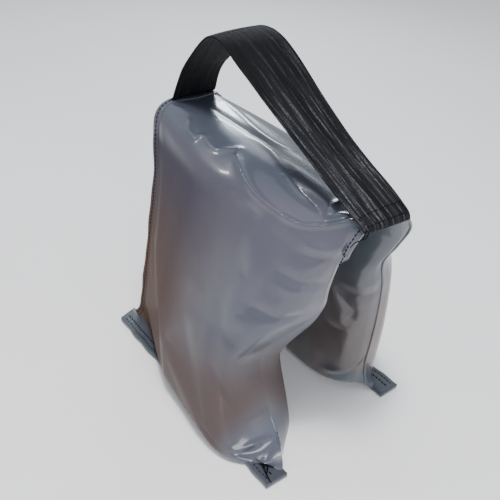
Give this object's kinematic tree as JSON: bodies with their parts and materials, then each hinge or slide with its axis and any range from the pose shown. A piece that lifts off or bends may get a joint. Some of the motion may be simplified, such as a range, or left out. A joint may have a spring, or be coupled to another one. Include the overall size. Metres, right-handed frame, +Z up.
{
  "type": "sandbag",
  "caption": "Saddle sandbag of glossy coated sheet: sand pouches hang each side of a folded ridge, a webbing handle arches over it.",
  "frame": {"origin": "on the floor, midway between the two pouches and under the middle of the ridge", "axes": "+Z up, +X along the ridge towards the end where the handle slopes down gently, +Y across the ridge towards the far pouch"},
  "size_m": [0.272, 0.2118, 0.3325],
  "materials": {
    "pvc": "glossy coated polyester sheet, fine scrim showing faintly through the coating",
    "webbing": "black woven webbing, slightly shiny, a little worn",
    "thread": "black twisted sewing thread",
    "sand": "dry loose sand"
  },
  "bodies": {
    "saddle": {"saddle_top": "pvc", "saddle_lining": "pvc", "handle_front_leg": "webbing", "handle_back_leg": "webbing", "handle_front_stitching": "thread", "handle_back_stitching": "thread"},
    "handle": {"handle_grip": "webbing"},
    "near_pouch": {"near_outer_panel": "pvc", "near_inner_panel": "pvc", "near_sand": "sand", "near_hem_fold": "pvc", "near_hem_stitching_outer": "thread", "near_hem_stitching_inner": "thread", "near_front_seam_stitching": "thread", "near_back_seam_stitching": "thread"},
    "far_pouch": {"far_outer_panel": "pvc", "far_inner_panel": "pvc", "far_sand": "sand", "far_hem_fold": "pvc", "far_hem_stitching_outer": "thread", "far_hem_stitching_inner": "thread", "far_front_seam_stitching": "thread", "far_back_seam_stitching": "thread"}
  },
  "joints": [
    {"name": "near_pouch_fold", "type": "hinge", "parent": "saddle", "child": "near_pouch", "pos_m": [0, -0.0256, 0.24755], "axis": [-1, 0, 0], "range_deg": [-8, 75]},
    {"name": "far_pouch_fold", "type": "hinge", "parent": "saddle", "child": "far_pouch", "pos_m": [0, 0.0256, 0.24755], "axis": [1, 0, 0], "range_deg": [-8, 75]},
    {"name": "handle_lean", "type": "hinge", "parent": "saddle", "child": "handle", "pos_m": [0, 0, 0.25], "axis": [1, 0, 0], "range_deg": [-30, 30], "stiffness_Nm_per_rad": 0.05}
  ]
}
